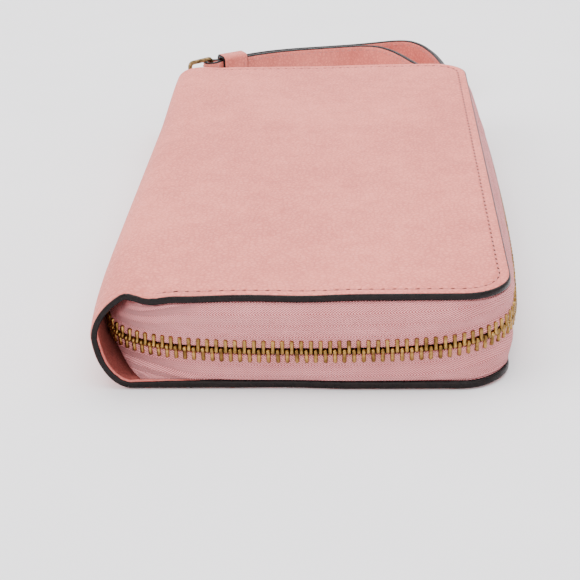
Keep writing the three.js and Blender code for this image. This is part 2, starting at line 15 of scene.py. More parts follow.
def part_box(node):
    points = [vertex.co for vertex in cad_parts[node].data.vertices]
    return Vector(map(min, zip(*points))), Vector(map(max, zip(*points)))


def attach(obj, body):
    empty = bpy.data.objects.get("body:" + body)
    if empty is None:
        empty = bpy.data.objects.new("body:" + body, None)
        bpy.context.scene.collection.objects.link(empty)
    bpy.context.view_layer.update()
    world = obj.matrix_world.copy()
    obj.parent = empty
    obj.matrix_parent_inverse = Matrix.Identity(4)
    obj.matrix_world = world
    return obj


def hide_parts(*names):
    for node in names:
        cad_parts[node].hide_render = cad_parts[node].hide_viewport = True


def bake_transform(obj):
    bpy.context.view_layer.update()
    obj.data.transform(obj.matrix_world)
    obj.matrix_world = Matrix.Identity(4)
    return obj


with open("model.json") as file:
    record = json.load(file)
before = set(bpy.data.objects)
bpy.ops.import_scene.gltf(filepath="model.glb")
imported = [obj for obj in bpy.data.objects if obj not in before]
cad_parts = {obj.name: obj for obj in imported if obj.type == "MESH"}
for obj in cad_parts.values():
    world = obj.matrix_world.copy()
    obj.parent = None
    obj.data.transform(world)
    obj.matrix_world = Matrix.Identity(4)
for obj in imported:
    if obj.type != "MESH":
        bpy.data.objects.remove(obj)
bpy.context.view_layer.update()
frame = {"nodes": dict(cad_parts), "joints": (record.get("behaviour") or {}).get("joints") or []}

MM = 0.001
dice = random.Random(11)

# ---- measures: read from the frame, or the same as in the part's source ----


def box(node):
    """Lowest and highest corner of a CAD node, in millimetres."""
    low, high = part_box(node)
    return low / MM, high / MM


def pivot(joint):
    """A hinge's place in millimetres."""
    return next(Vector(j["pos_m"]) / MM for j in frame["joints"] if j["name"] == joint)


cover_low, cover_high = box("cover_leather_lower")
MOUTH_X = cover_high.x
SPINE_X = cover_low.x
END_Y = cover_high.y
THICKNESS = box("cover_leather_upper")[1].z
HALF = THICKNESS / 2
CORNER = 12.0  # radius of the covers' corners
SPINE_START = SPINE_X + 11.5  # where the flat covers end
SKIN = 1.95  # leather, board and lining together
FLAT = MOUTH_X - SPINE_START  # across one flat cover
ARC = 37.7  # round the spine
GIRTH = 2 * FLAT + ARC  # from one mouth edge to the other
STITCH_INSET = 2.8  # from the covers' edge to their seam
STITCH_PITCH = 2.8  # from one stitch to the next
EDGE_GAP = 0.12  # the layers of the covers stop this far inside the painted edge
NO_EDGE = 99.0  # the inset of a point that has no edge or seam near it
OCTAGON = np.arange(8) * math.pi / 4

# ---- meshes ----


def mesh_object(name, points, faces, materials, indices=None, uv=None):
    """A mesh object from points in millimetres. uv, in millimetres, is one pair per point."""
    mesh = bpy.data.meshes.new(name)
    mesh.from_pydata([tuple(p) for p in np.asarray(points, float) * MM], [], faces)
    for m in materials:
        mesh.materials.append(m)
    if indices is not None:
        mesh.polygons.foreach_set("material_index", indices)
    mesh.polygons.foreach_set("use_smooth", [True] * len(mesh.polygons))
    if uv is not None:
        layer = mesh.uv_layers.new(name="weave")
        for loop in mesh.loops:
            layer.uv[loop.index].vector = uv[loop.vertex_index]
    mesh.update()
    obj = bpy.data.objects.new(name, mesh)
    bpy.context.scene.collection.objects.link(obj)
    return obj


def loft(rings, closed=False, ring_uv=None):
    """Points, faces and uv of a solid through rings of points. An open row is capped at both ends."""
    rings = np.asarray(rings, float)
    count, n, _ = rings.shape
    faces = []
    for s in range(count if closed else count - 1):
        here, there = s * n, ((s + 1) % count) * n
        for i in range(n):
            j = (i + 1) % n
            faces.append((here + i, here + j, there + j, there + i))
    if not closed:
        faces.append(tuple(range(n - 1, -1, -1)))
        faces.append(tuple((count - 1) * n + i for i in range(n)))
    uv = None if ring_uv is None else np.asarray(ring_uv, float).reshape(-1, 2)
    return rings.reshape(-1, 3), faces, uv


def outward(points, faces):
    """The faces, turned round if the solid they close is inside out."""
    volume = 0.0
    p = np.asarray(points, float)
    for f in faces:
        for i in range(1, len(f) - 1):
            volume += np.dot(p[f[0]], np.cross(p[f[i]], p[f[i + 1]]))
    return faces if volume > 0 else [tuple(reversed(f)) for f in faces]


def merge(parts):
    """One list of points and faces from several."""
    points, faces, start = [], [], 0
    for p, f in parts:
        points.append(np.asarray(p, float))
        faces += [tuple(i + start for i in face) for face in f]
        start += len(p)
    return np.vstack(points), faces


def distances_along(path):
    """How far along a path each of its points is."""
    return np.concatenate([[0], np.cumsum(np.linalg.norm(np.diff(path, axis=0), axis=1))])


def sample(wanted, at, rows):
    """Rows read off at the wanted distances, where at holds the distance of each given row."""
    return np.stack([np.interp(wanted, at, column) for column in np.asarray(rows, float).T], -1)


def smoothstep(t, low, high):
    """0 below low and 1 above high, with a soft rise between them."""
    t = np.clip((t - low) / (high - low), 0, 1)
    return t * t * (3 - 2 * t)


def wobble(x, y, z, scale, seed):
    """Smooth noise from -1 to 1 that changes over about scale millimetres."""
    return noise.noise(Vector((x / scale + seed, y / scale - seed, z / scale)))


# ---- materials ----


def srgb(r, g, b):
    """A colour given as it looks on screen, 0 to 255, as linear light."""
    linear = [c / 255 / 12.92 if c <= 10 else ((c / 255 + 0.055) / 1.055) ** 2.4 for c in (r, g, b)]
    return (*linear, 1.0)


class Nodes:
    """Short names for building one material's node tree."""

    def __init__(self, name):
        self.material = bpy.data.materials.new(name)
        self.material.use_nodes = True
        self.tree = self.material.node_tree
        self.shader = self.tree.nodes["Principled BSDF"]

    def add(self, kind, **settings):
        node = self.tree.nodes.new(kind)
        for key, value in settings.items():
            if key in node.inputs:
                node.inputs[key].default_value = value
            else:
                setattr(node, key, value)
        return node

    def link(self, source, target):
        self.tree.links.new(source, target)

    def place(self):
        """The surface's own coordinates, in metres."""
        return self.add("ShaderNodeTexCoord").outputs["Object"]

    def math(self, operation, a, b=None):
        node = self.add("ShaderNodeMath", operation=operation)
        for value, socket in zip((a, b), node.inputs):
            if isinstance(value, (int, float)):
                socket.default_value = value
            elif value is not None:
                self.link(value, socket)
        return node.outputs[0]

    def noise(self, scale_mm, detail, roughness=0.5, place=None):
        scale = 1 / (scale_mm * MM)
        node = self.add("ShaderNodeTexNoise", Scale=scale, Detail=detail, Roughness=roughness)
        self.link(place or self.place(), node.inputs["Vector"])
        return node.outputs["Fac"]

    def cells(self, scale_mm, place):
        node = self.add("ShaderNodeTexVoronoi", Scale=1 / (scale_mm * MM), feature="DISTANCE_TO_EDGE")
        self.link(place, node.inputs["Vector"])
        return node.outputs["Distance"]

    def ramp(self, value, stops):
        node = self.add("ShaderNodeValToRGB")
        elements = node.color_ramp.elements
        while len(elements) < len(stops):
            elements.new(0.5)
        for element, (position, colour) in zip(elements, stops):
            element.position = position
            element.color = colour
        self.link(value, node.inputs["Fac"])
        return node.outputs["Color"]

    def spread(self, value, low, high, out_low, out_high):
        ends = {"From Min": low, "From Max": high, "To Min": out_low, "To Max": out_high}
        node = self.add("ShaderNodeMapRange", **ends)
        self.link(value, node.inputs["Value"])
        return node.outputs["Result"]

    def bump(self, height, distance_mm, strength, below=None):
        node = self.add("ShaderNodeBump", Strength=strength, Distance=distance_mm * MM)
        self.link(height, node.inputs["Height"])
        if below is not None:
            self.link(below, node.inputs["Normal"])
        return node.outputs["Normal"]

    def surface(self, colour, roughness, normal, **fixed):
        self.link(colour, self.shader.inputs["Base Color"])
        self.link(normal, self.shader.inputs["Normal"])
        if isinstance(roughness, float):
            fixed["Roughness"] = roughness
        else:
            self.link(roughness, self.shader.inputs["Roughness"])
        for name, value in fixed.items():
            self.shader.inputs[name].default_value = value
        return self.material


def leather_material(name, light, dark, grain_mm=1.25, depth_mm=0.12, roughness=(0.46, 0.64)):
    """Pebbled leather: rounded grains with creases between them, short wrinkles, and cloudy colour, with
    painted shade that darkens the creases between the grains.
    """
    n = Nodes(name)
    place = n.place()
    warp = n.add("ShaderNodeTexNoise", Scale=1 / (3.5 * MM), Detail=2.0)
    n.link(place, warp.inputs["Vector"])
    shifted = n.add("ShaderNodeVectorMath", operation="MULTIPLY_ADD")
    n.link(warp.outputs["Color"], shifted.inputs[0])
    shifted.inputs[1].default_value = (1.4 * MM, 1.4 * MM, 1.4 * MM)
    n.link(place, shifted.inputs[2])
    grains = n.cells(grain_mm, shifted.outputs[0])
    pebble = n.math("POWER", n.math("MINIMUM", n.math("MULTIPLY", grains, 2.6), 1.0), 0.55)
    drawn = n.add("ShaderNodeMapping", Scale=(1.0, 0.42, 1.0))
    n.link(shifted.outputs[0], drawn.inputs["Vector"])
    wrinkle = n.noise(1.7, 4.0, 0.62, drawn.outputs[0])
    fine = n.noise(0.28, 4.0, 0.6, place)
    broad = n.noise(30, 3.0, 0.55, place)
    mottle = n.noise(4.5, 4.0, 0.6, place)
    tone = n.math("ADD", n.math("MULTIPLY", broad, 0.5), n.math("MULTIPLY", mottle, 0.5))
    # Painted shade: the colour is darker in the creases between the grains, where the pebble is low.
    tone = n.math("ADD", tone, n.math("MULTIPLY", n.math("SUBTRACT", pebble, 0.8), 0.34))
    colour = n.ramp(tone, [(0.22, dark), (0.62, light)])
    height = n.math("ADD", pebble, n.math("MULTIPLY", fine, 0.3))
    normal = n.bump(height, depth_mm, 0.85)
    normal = n.bump(wrinkle, 0.5, 0.42, normal)
    rough = n.spread(pebble, 0.0, 1.0, roughness[1], roughness[0])
    return n.surface(colour, rough, normal, **{"Specular IOR Level": 0.32})


def edge_paint_material():
    """Black edge paint: glossy in places, with the faint lines of the burnished layers under it."""
    n = Nodes("edge_paint")
    place = n.place()
    worn = n.noise(1.6, 4.0, 0.65, place)
    stretched = n.add("ShaderNodeMapping", Scale=(0.25, 0.25, 3.0))
    n.link(place, stretched.inputs["Vector"])
    layers = n.noise(0.5, 2.0, 0.5, stretched.outputs[0])
    colour = n.ramp(worn, [(0.35, srgb(14, 9, 9)), (0.75, srgb(27, 18, 17))])
    rough = n.spread(worn, 0.3, 0.7, 0.2, 0.42)
    normal = n.bump(n.math("ADD", worn, layers), 0.12, 0.6)
    return n.surface(colour, rough, normal, **{"Specular IOR Level": 0.14})


def tape_material(name, light, dark):
    """Herringbone twill: slanting ribs that turn back in bands, made of short round threads. Its colour
    follows the weave's height, with painted shade in the hollows and painted highlight on the ribs.
    """
    rib_mm, band_mm, thread_mm, depth_mm = 0.74, 2.9, 0.62, 0.3
    n = Nodes(name)
    chart = n.add("ShaderNodeUVMap", uv_map="weave")
    split = n.add("ShaderNodeSeparateXYZ")
    n.link(chart.outputs["UV"], split.inputs[0])
    along, across = split.outputs["X"], split.outputs["Y"]
    band = n.math("PINGPONG", across, band_mm)
    lean = n.math("MULTIPLY", band, 1.5 / rib_mm)
    ribs_passed = n.math("ADD", n.math("DIVIDE", along, rib_mm), lean)
    ribs = n.math("SINE", n.math("MULTIPLY", ribs_passed, 2 * math.pi))
    knots = n.math("SINE", n.math("MULTIPLY", across, 2 * math.pi / thread_mm))
    turn = n.math("POWER", n.math("PINGPONG", n.math("DIVIDE", across, band_mm), 0.5), 0.5)
    fuzz = n.noise(0.2, 3.0, 0.6)
    cloud = n.noise(9.0, 3.0, 0.5)
    height = n.math("ADD", n.math("MULTIPLY", ribs, 0.6), n.math("MULTIPLY", knots, 0.16))
    height = n.math("ADD", height, n.math("MULTIPLY", n.math("SUBTRACT", fuzz, 0.5), 0.5))
    # The colour follows the weave's height, which paints shade in the hollows and highlight on the ribs, plus
    # a cloudy tone and the bands' turns.
    tone = n.math("ADD", n.math("MULTIPLY", height, 0.9), n.math("MULTIPLY", cloud, 0.5))
    tone = n.math("ADD", tone, n.math("MULTIPLY", turn, 0.25))
    # deep is the painted shade at the bottom of the hollows; the brightest stop is the painted highlight on
    # the ribs' tops.
    deep = tuple(c * 0.42 for c in dark)
    ridge_highlight = tuple(min(1, c * 1.12) for c in light)
    colour = n.ramp(tone, [(0.05, deep), (0.3, dark), (0.5, light), (0.8, ridge_highlight)])
    normal = n.bump(height, depth_mm, 0.9)
    return n.surface(colour, 0.8, normal, **{"Sheen Weight": 0.1, "Specular IOR Level": 0.2})


def metal_material(name, light, dark, roughness=(0.2, 0.38)):
    """Polished brass with tarnish in patches and fine rub marks."""
    n = Nodes(name)
    place = n.place()
    patches = n.noise(2.2, 4.0, 0.6, place)
    marks = n.noise(0.25, 2.0, 0.7, place)
    colour = n.ramp(patches, [(0.35, dark), (0.62, light)])
    rough = n.spread(patches, 0.3, 0.7, roughness[1], roughness[0])
    normal = n.bump(marks, 0.02, 0.5)
    return n.surface(colour, rough, normal, Metallic=1.0)


def thread_material(name, light, dark):
    """Twisted sewing thread."""
    n = Nodes(name)
    place = n.place()
    twist = n.add("ShaderNodeTexWave", Scale=1 / (0.42 * MM), Distortion=1.0, bands_direction="DIAGONAL")
    n.link(place, twist.inputs["Vector"])
    colour = n.ramp(twist.outputs["Fac"], [(0.2, dark), (0.7, light)])
    normal = n.bump(twist.outputs["Fac"], 0.05, 0.7)
    return n.surface(colour, 0.6, normal, **{"Sheen Weight": 0.2})


def stitch_shadow_material():
    """Dark colour for the marks between stitches: painted shadow where the thread goes into the leather."""
    n = Nodes("painted_stitch_shadow")
    shade = n.noise(0.5, 2.0, 0.5)
    colour = n.ramp(shade, [(0.3, srgb(40, 16, 13)), (0.7, srgb(74, 32, 27))])
    return n.surface(colour, 0.9, n.bump(shade, 0.05, 0.5))


PINK = leather_material("pink_leather", srgb(229, 127, 112), srgb(200, 103, 91))
LINING = leather_material(
    "lining_leather", srgb(162, 86, 78), srgb(130, 64, 58), grain_mm=0.7, depth_mm=0.05, roughness=(0.55, 0.7)
)
PAINT = edge_paint_material()
TAPE = tape_material("zip_tape_twill", srgb(255, 168, 168), srgb(250, 126, 128))
GUSSET = tape_material("gusset_cloth", srgb(206, 118, 118), srgb(160, 78, 82))
BRASS = metal_material("brass_teeth", srgb(168, 130, 72), srgb(100, 72, 36))
AGED = metal_material("aged_brass", srgb(150, 122, 84), srgb(74, 58, 38), roughness=(0.3, 0.5))
POLISHED = metal_material("brass_fittings", srgb(214, 178, 116), srgb(176, 138, 82), roughness=(0.14, 0.26))
THREAD = thread_material("pink_thread", srgb(214, 126, 116), srgb(176, 90, 82))
RAW = leather_material("raw_lining_edge", srgb(206, 112, 102), srgb(172, 80, 72), grain_mm=0.5, depth_mm=0.08)
# Painted shadow for the marks between the stitches.
STITCH_SHADOW = stitch_shadow_material()

# ---- the covers' shape ----


def spine_shape(y):
    """How far the spine reaches, and how round it is: it is pinched at the near end and full at the far."""
    near = np.clip(-np.asarray(y, float) / END_Y, 0, 1)
    far = smoothstep(np.asarray(y, float) / END_Y, 0.45, 1.0)
    return 9.9 + 1.6 * (1 - near**7), 1.62 + 0.33 * (1 - near**6) + 1.0 * far


def dent(x, where, wide, deep):
    """A soft dip across the cover, as a height."""
    return -deep * np.exp(-(((x - where) / wide) ** 2))


# Creases, deepest by the near end: where they are in x, how wide and how deep. The first stands up.
CREASES = [(-41.2, 2.6, -0.6), (-35.2, 3.6, 0.8), (-26, 7, 0.3), (2, 8, 0.35)]


def relief(u, y, x):
    """How far the outside stands above the plain shape: soft sags, creases and a lifted corner."""
    v = np.clip(-y / END_Y, 0, 1)
    near = v**5
    upper = smoothstep(u, FLAT + 0.6 * ARC, FLAT + 0.9 * ARC)
    lower = 1 - smoothstep(u, FLAT + 0.1 * ARC, FLAT + 0.4 * ARC)
    waves = sum(dent(x, *wave) for wave in CREASES)
    sag = dent(x, -8, 26, 0.3) * (1 - near)
    lift = -0.5 * smoothstep(x, 44, 53) * smoothstep(v, 0.85, 1.0)
    return upper * ((0.25 + 0.75 * near) * waves + sag) + lower * lift


def stagger(u, y, x):
    """The shift in y that brings the lower cover's near end out beyond the upper cover's."""
    lower = 1 - smoothstep(u, FLAT + 0.1 * ARC, FLAT + 0.55 * ARC)
    most = 1.75 + 0.85 * smoothstep(x, -4, 14) - 0.3 * smoothstep(x, 38, 50)
    return -lower * smoothstep(-y / END_Y, 0.5, 1.0) * most


def groove(u, inset):
    """The line pulled in by the stitches, which goes on as a crease round the spine."""
    from_mouth = np.minimum(u, GIRTH - u)
    fade = 1 - 0.6 * smoothstep(from_mouth, FLAT - 4, FLAT - 1)
    return -0.26 * fade * np.exp(-(((inset - STITCH_INSET) / 0.5) ** 2))


def edge_thickness(u):
    """The edge is thickest on the lower cover, and skived thinner round the spine."""
    spine = smoothstep(u, FLAT - 10, FLAT + 4) * (1 - smoothstep(u, FLAT + ARC - 8, FLAT + ARC + 6))
    lower = 1 - smoothstep(u, FLAT, FLAT + ARC)
    return SKIN + 0.3 * lower - 0.35 * spine


def section(u, y):
    """x and z on the plain outside of the covers, u millimetres from the lower mouth edge."""
    reach, power = spine_shape(y)
    a = np.clip((u - FLAT) / ARC, 0, 1) * math.pi
    s, c = np.sin(a), np.cos(a)
    power = power + 0.28 * smoothstep(c, 0.0, 0.5)
    x = SPINE_START - reach * np.abs(s) ** (2 / power)
    x = np.where(u < FLAT, MOUTH_X - u, np.where(u > FLAT + ARC, SPINE_START + u - FLAT - ARC, x))
    z = HALF - HALF * np.sign(c) * np.abs(c) ** (2 / power) + 0.9 * s**2
    return x, z


def skin(u, y, depth, inset=NO_EDGE):
    """Points of the cover at a depth below its outside, and the section's tangent and normal."""
    u, y = np.asarray(u, float), np.asarray(y, float)
    step = 0.05
    x, z = section(u, y)
    x1, z1 = section(u + step, y)
    x0, z0 = section(u - step, y)
    inside = (u - step >= 0) & (u + step <= GIRTH)
    tx = np.where(inside, x1 - x0, np.where(u < FLAT, -1.0, 1.0))
    tz = np.where(inside, z1 - z0, 0.0)
    size = np.hypot(tx, tz)
    tx, tz = tx / size, tz / size
    nx, nz = -tz, tx
    up = relief(u, y, x) + groove(u, inset) - depth
    points = np.stack([x + nx * up, y + stagger(u, y, x), z + nz * up], -1)
    zero = 0 * tx
    return points, np.stack([tx, zero, tz], -1), np.stack([nx, zero, nz], -1)


INSETS = [0, 0.2, 0.5, 1.0, 1.6, 2.1, 2.4, 2.6, 2.8, 3.0, 3.2, 3.5, 4.0, 5.0, 6.5, 8.2, 10, CORNER]


def lines(total, middle):
    """Grid lines from edge to edge: close together by the edges, and as given in the middle."""
    return np.array([*INSETS, *middle, *(total - d for d in reversed(INSETS))])


def round_corners(u, b):
    """Moves the grid's square corners onto arcs, so that its lines follow the rounded outline."""
    a = np.minimum(u, GIRTH - u)
    corner = (a < CORNER) & (b < CORNER)
    d = np.minimum(a, b)
    radius = CORNER - d
    safe = np.maximum(radius, 1e-9)
    flat_side = b <= a
    angle = np.where(flat_side, (CORNER - a) / safe, (CORNER - b) / safe) * math.pi / 4
    far, near = CORNER - radius * np.sin(angle), CORNER - radius * np.cos(angle)
    a2 = np.where(corner, np.where(flat_side, far, near), a)
    b2 = np.where(corner, np.where(flat_side, near, far), b)
    return np.where(u <= GIRTH / 2, a2, GIRTH - a2), b2


def cover_grid():
    """u, y and inset of every grid point of the covers, stopping short of the edge."""
    flat_steps = np.linspace(CORNER, FLAT, 27)[1:-1]
    arc_steps = np.linspace(FLAT, FLAT + ARC, 49)
    us = lines(GIRTH, [*flat_steps, *arc_steps, *(GIRTH - flat_steps[::-1])])
    ys = lines(2 * END_Y, np.linspace(CORNER, 2 * END_Y - CORNER, 58)[1:-1])
    u, w = np.meshgrid(us, ys, indexing="ij")
    b = np.minimum(w, 2 * END_Y - w)
    inset = np.minimum(np.minimum(u, GIRTH - u), b)
    u2, b2 = round_corners(u, b)
    y = np.where(w < END_Y, b2 - END_Y, END_Y - b2)
    pull = EDGE_GAP * np.exp(-inset / 1.5)
    u2 = u2 + pull * np.where(np.minimum(u, GIRTH - u) < CORNER, np.sign(GIRTH / 2 - u2), 0)
    y = y + pull * np.where(b < CORNER, np.sign(-y), 0)
    return u2, y, inset


def cover_layer(name, outer, inner, material):
    """One layer of the covers, all the way round from mouth to mouth, as a closed solid."""
    u, y, inset = cover_grid()
    rows, columns = u.shape
    skived = np.exp(-inset / 4)
    thin = (SKIN - edge_thickness(u)) * skived if inner == SKIN else 0.0
    rounded = 0.34 * np.exp(-((inset / 0.42) ** 2)) if outer == 0 else 0.0
    outside = skin(u, y, outer + rounded - (thin if outer > 0 else 0.0), inset)[0].reshape(-1, 3)
    inside = skin(u, y, inner - thin, inset)[0].reshape(-1, 3)
    count = rows * columns

    def at(i, j):
        return i * columns + j

    faces = []
    for i in range(rows - 1):
        for j in range(columns - 1):
            quad = (at(i, j), at(i + 1, j), at(i + 1, j + 1), at(i, j + 1))
            faces.append(quad)
            faces.append(tuple(k + count for k in reversed(quad)))
    rim = [at(i, 0) for i in range(rows)] + [at(rows - 1, j) for j in range(1, columns)]
    rim += [at(i, columns - 1) for i in range(rows - 2, -1, -1)]
    rim += [at(0, j) for j in range(columns - 2, 0, -1)]
    for k, here in enumerate(rim):
        there = rim[(k + 1) % len(rim)]
        faces.append((there, here, here + count, there + count))
    points = np.vstack([outside, inside])
    return mesh_object(name, points, outward(points, faces), [material])


def outline(inset, step):
    """The covers' rounded outline at an inset: u, y and the outward direction in u and y."""
    radius = CORNER - inset
    end = END_Y - inset
    run = np.linspace(CORNER, GIRTH - CORNER, int((GIRTH - 2 * CORNER) / step))
    side = np.linspace(-END_Y + CORNER, END_Y - CORNER, int(2 * (END_Y - CORNER) / step))
    turn = np.linspace(0, math.pi / 2, max(4, int(radius * 1.57 / step)))[1:-1]

    def corner(cu, cy, start):
        """The points of a rounded corner, a quarter turn on from the direction start."""
        ways = [(math.cos(start + t), math.sin(start + t)) for t in turn]
        return [(cu + radius * du, cy + radius * dy, du, dy) for du, dy in ways]

    low, high, back = CORNER, GIRTH - CORNER, END_Y - CORNER
    rows = [(u, -end, 0, -1) for u in run] + corner(high, -back, -math.pi / 2)
    rows += [(GIRTH - inset, y, 1, 0) for y in side] + corner(high, back, 0)
    rows += [(u, end, 0, 1) for u in run[::-1]] + corner(low, back, math.pi / 2)
    rows += [(inset, y, -1, 0) for y in side[::-1]] + corner(low, -back, math.pi)
    return np.array(rows)


def painted_edge():
    """The rounded, painted edge of the layers, all the way round. It is tucked in along the mouth."""
    rim = outline(0.0, 1.6)
    base, tangent, normal = skin(rim[:, 0], rim[:, 1], 0.0, 0.0)
    out = rim[:, 2:3] * tangent + rim[:, 3:4] * np.array([0, 1, 0])
    # How far out and how deep each point of the bead is: from the outside, then from the lining.
    outer = [(-0.5, 0.26), (-0.2, 0.24), (0.06, 0.3), (0.22, 0.5), (0.28, 0.85), (0.28, 1.25)]
    inner = [(0.22, -0.3), (0.08, -0.05), (-0.12, 0.05), (-0.5, 0.03)]
    rings = []
    for spot, away, up, thick in zip(base, out, normal, edge_thickness(rim[:, 0])):
        at_mouth = smoothstep(spot[0], MOUTH_X - 5, MOUTH_X - 1.5)
        tucked = at_mouth * (1 - smoothstep(-spot[1], END_Y - 13, END_Y - 6))
        swell = (1 + 0.16 * wobble(*spot, 3.1, 5.0)) * (1 - 0.9 * tucked)
        lean = 0.06 * wobble(*spot, 7.0, 9.0)
        bead = [(reach, depth * thick / SKIN) for reach, depth in outer]
        bead += [(reach, thick + depth) for reach, depth in inner]
        ring = []
        for reach, depth in bead:
            if reach > 0:
                reach, depth = reach * swell, depth + 0.15 * tucked - lean
            ring.append(spot + away * reach - up * depth)
        rings.append(ring)
    points, faces, _ = loft(rings, closed=True)
    return mesh_object("cover_painted_edge", points, outward(points, faces), [PAINT])


def capsule(length, radius, flatness, arch):
    """A stitch along x: thicker in the middle, dipping at both ends. z is up."""
    rings = []
    for t in np.linspace(-1, 1, 7):
        r = radius * math.sqrt(max(0.06, 1 - abs(t) ** 2.6))
        z = -arch * t * t
        rings.append([(t * length / 2, r * math.cos(a), z + flatness * r * math.sin(a)) for a in OCTAGON])
    points, faces, _ = loft(rings)
    return points, outward(points, faces)


def lay(shape, origin, along, up):
    """A shape's points and faces, moved so that its x and z point along and up."""
    along, up = Vector(along).normalized(), Vector(up).normalized()
    side = up.cross(along).normalized()
    turn = np.array([along, side, along.cross(side)]).T
    points, faces = shape
    return points @ turn.T + np.asarray(origin), faces


def seam_spots(path, normals, pitch):
    """A spot in the middle of every pitch along a path, with the path's direction and its normal."""
    path = np.asarray(path, float)
    at = distances_along(path)
    wanted = np.arange(pitch / 2, at[-1], pitch)
    ahead = sample(wanted + 0.1, at, path) - sample(wanted - 0.1, at, path)
    return list(zip(sample(wanted, at, path), ahead, sample(wanted, at, normals)))


def sew(name, seams, body, stitch_shadows=True, pitch=STITCH_PITCH):
    """Stitches along seams as one piece on a body, and dark marks of painted shadow between them, where the
    thread goes into the leather, as another.
    """
    threads, shadow_marks = [], []
    shape = capsule(0.7 * pitch, 0.25, 0.7, 0.16)
    shadow_mark = capsule(1.3, 0.22, 0.5, 0.06)
    for path, normals in seams:
        for spot, along, up in seam_spots(path, normals, pitch):
            tilt = dice.uniform(-0.05, 0.05)
            along = Vector(along).normalized()
            side = Vector(up).cross(along)
            threads.append(lay(shape, spot + np.asarray(up) * 0.1, along + side * tilt, up))
            # A dark capsule between two stitches: painted shadow where the thread goes into the leather.
            if stitch_shadows:
                shadow_spot = spot + np.asarray(along) * pitch / 2 + np.asarray(up) * 0.06
                shadow_marks.append(lay(shadow_mark, shadow_spot, along + side * (0.25 + tilt), up))
    points, faces = merge(threads)
    pieces = [mesh_object(name, points, faces, [THREAD])]
    if stitch_shadows:
        points, faces = merge(shadow_marks)
        pieces.append(mesh_object(name + "_stitch_shadows", points, faces, [STITCH_SHADOW]))
    for piece in pieces:
        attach(piece, body)


def cover_seams():
    """The seams round the three zipped sides of each cover."""
    path = outline(STITCH_INSET, 0.7)
    points, _, normals = skin(path[:, 0], path[:, 1], 0.0, STITCH_INSET)
    seams = {}
    for name, inside in (("lower", path[:, 0] < FLAT - 3), ("upper", path[:, 0] > GIRTH - FLAT + 3)):
        first = int(np.argmax(inside & ~np.roll(inside, 1)))
        order = np.roll(np.arange(len(path)), -first)
        order = order[inside[order]]
        seams[name] = (points[order], normals[order])
    return seams


def bend_round_spine(piece):
    """Bakes the piece's place into its mesh."""
    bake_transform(piece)


def lining_fray(end):
    """The lining's cut edge, which shows as a pale wavy lip inside the spine at one end."""
    first, last = FLAT - 17, FLAT + 0.6 * ARC
    run = np.linspace(first, last, 90)
    base, _, normal = skin(run, np.full(len(run), end * (END_Y - 0.3)), 0.0)
    out = np.array([0, end, 0])
    rings = []
    for spot, up, thick, u in zip(base, normal, edge_thickness(run), run):
        fade = float(smoothstep(u, first, FLAT - 8) * (1 - smoothstep(u, FLAT + 0.45 * ARC, last)))
        width = (0.35 + 0.22 * wobble(u, 0, 0, 2.3, 4.0)) * fade + 0.04
        height = 0.28 * fade + 0.03
        drop = (0.3 + 0.2 * wobble(u, 9, 0, 1.6, 2.0)) * fade
        centre = spot - up * (thick + 0.1 + drop * 0.5)
        rings.append([centre + up * height * math.sin(a) + out * width * math.cos(a) for a in OCTAGON])
    points, faces, _ = loft(rings)
    lip = mesh_object(f"lining_lip_{'near' if end < 0 else 'far'}", points, outward(points, faces), [RAW])
    return lip


def build_covers():
    leather = cover_layer("cover_leather", 0.0, 0.85, PINK)
    lining = cover_layer("cover_lining", 1.3, SKIN, LINING)
    edge = painted_edge()
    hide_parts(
        "cover_leather_lower", "cover_leather_upper", "cover_board_lower", "cover_board_upper"
    )
    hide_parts("cover_lining_lower", "cover_lining_upper")
    for piece, slot in ((leather, "cover_leather"), (lining, "lining_leather"), (edge, "cover_leather")):
        bend_round_spine(piece)
    for end in (-1, 1):
        bend_round_spine(lining_fray(end))
    for name, seam in cover_seams().items():
        sew(f"cover_stitching_{name}", [seam], f"{name}_case")


# ---- the main zip ----

TAPE_THICK = 0.6
TAPE_STANDS = 3.3  # beside the teeth, the tape stands upright this far from the zip's middle
TOOTH_PITCH = 2.32
TAPE_END_X = SPINE_X + 6
SEAM_INSET = 0.25  # covers' edge to where the tape goes under
CURL_FROM = -24.0  # the x where the zip begins to curl in behind the spine
CURL_SEAM = -42.5  # the x as far as which its tape stays sewn to the covers
# The zip's middle line: curled in behind the spine, along the near end, the mouth and the far end.
TRACK_POINTS = [
    (-48.7, -80.5, 10.9), (-47.4, -85.0, 10.7), (-44.7, -89.2, 10.5), (-40.6, -92.2, 10.3),
    (-36, -94.3, 10.2), (-30, -96.1, 10.2), (-23, -97.5, 10.3), (-14, -98.8, 10.5), (-2, -99.5, 10.6),
    (12, -99.7, 10.7), (24, -99.5, 10.9), (34, -98.8, 11.2), (40.5, -97.3, 11.5), (46, -94.3, 11.8),
    (50.2, -90.0, 12.0), (52.7, -85.0, 12.2), (53.9, -79, 12.3), (54.8, -68, 12.3), (55.6, -52, 12.3),
    (56.1, -28, 12.3), (56.2, 0, 12.3), (56, 28, 12.3), (55.4, 52, 12.3), (54.5, 68, 12.3),
    (53.4, 79, 12.3), (52.2, 86.5, 12.3), (49, 93.6, 12.3), (45.2, 96.7, 12.3), (40.8, 98, 12.3),
    (34, 98, 12.3), (20, 98, 12.3), (0, 98, 12.3), (-24, 98, 12.3), (TAPE_END_X, 98, 12.3),
]


def closest_seam(x, y):
    """The nearest point of the covers' outline at the tapes' inset, and the way inward from it."""
    radius = CORNER - SEAM_INSET
    cx, cy = MOUTH_X - CORNER, END_Y - CORNER
    way = 1 if y > 0 else -1
    if x > cx and abs(y) > cy:
        dx, dy = x - cx, abs(y) - cy
        size = math.hypot(dx, dy)
        return cx + radius * dx / size, way * (cy + radius * dy / size), -dx / size, -way * dy / size
    if abs(y) > cy:
        return x, way * (END_Y - SEAM_INSET), 0.0, -way
    return MOUTH_X - SEAM_INSET, y, -1.0, 0.0


